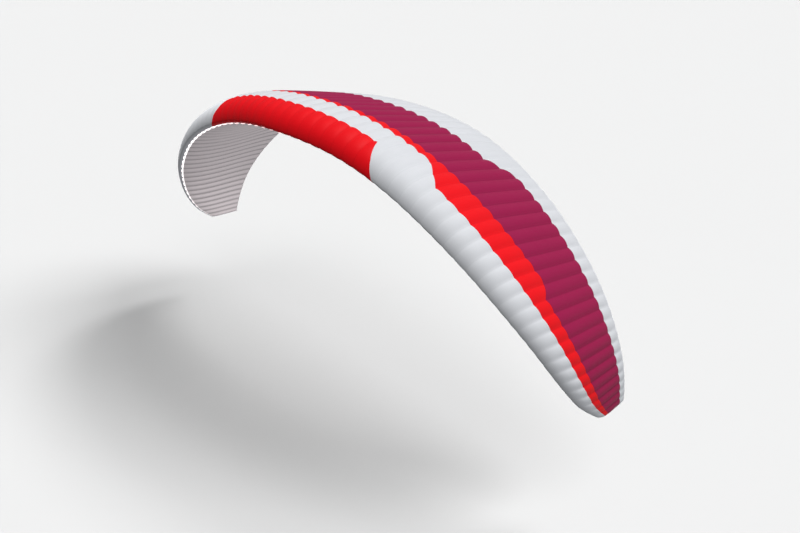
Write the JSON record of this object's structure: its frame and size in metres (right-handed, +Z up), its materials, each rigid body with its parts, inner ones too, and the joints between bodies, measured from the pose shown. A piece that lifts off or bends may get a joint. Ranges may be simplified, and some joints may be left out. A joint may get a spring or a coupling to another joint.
{
  "type": "paraglider wing",
  "caption": "Inflated paraglider canopy of 67 cells: red and white nose, red stripe, purple field, white trailing row and lower sail.",
  "frame": {"origin": "point on the outer face of the lower sail, at the crown of the middle cell, a third of the chord back, under which the load hangs", "axes": "+X along the span to the right tip, +Y from the leading edge back to the trailing edge, +Z up"},
  "size_m": [9.3578, 2.3066, 3.0827],
  "materials": {
    "red_cloth": "coated ripstop, bright red",
    "white_cloth": "coated ripstop, cool white",
    "purple_cloth": "coated ripstop, red purple",
    "shaded_cloth": "coated ripstop, white, on the lower sail",
    "rib_cloth": "stiff coated ripstop, white"
  },
  "bodies": {
    "root": {"nose_red": "red_cloth", "nose_white_right": "white_cloth", "nose_white_left": "white_cloth", "band_white": "white_cloth", "stripe_red": "red_cloth", "field_purple": "purple_cloth", "trail_white": "white_cloth", "lower_sail": "shaded_cloth", "rib_right_01": "rib_cloth", "rib_left_01": "rib_cloth", "rib_right_02": "rib_cloth", "rib_left_02": "rib_cloth", "rib_right_03": "rib_cloth", "rib_left_03": "rib_cloth", "rib_right_04": "rib_cloth", "rib_left_04": "rib_cloth", "rib_right_05": "rib_cloth", "rib_left_05": "rib_cloth", "rib_right_06": "rib_cloth", "rib_left_06": "rib_cloth", "rib_right_07": "rib_cloth", "rib_left_07": "rib_cloth", "rib_right_08": "rib_cloth", "rib_left_08": "rib_cloth", "rib_right_09": "rib_cloth", "rib_left_09": "rib_cloth", "rib_right_10": "rib_cloth", "rib_left_10": "rib_cloth", "rib_right_11": "rib_cloth", "rib_left_11": "rib_cloth", "rib_right_12": "rib_cloth", "rib_left_12": "rib_cloth", "rib_right_13": "rib_cloth", "rib_left_13": "rib_cloth", "rib_right_14": "rib_cloth", "rib_left_14": "rib_cloth", "rib_right_15": "rib_cloth", "rib_left_15": "rib_cloth", "rib_right_16": "rib_cloth", "rib_left_16": "rib_cloth", "rib_right_17": "rib_cloth", "rib_left_17": "rib_cloth"}
  },
  "joints": []
}
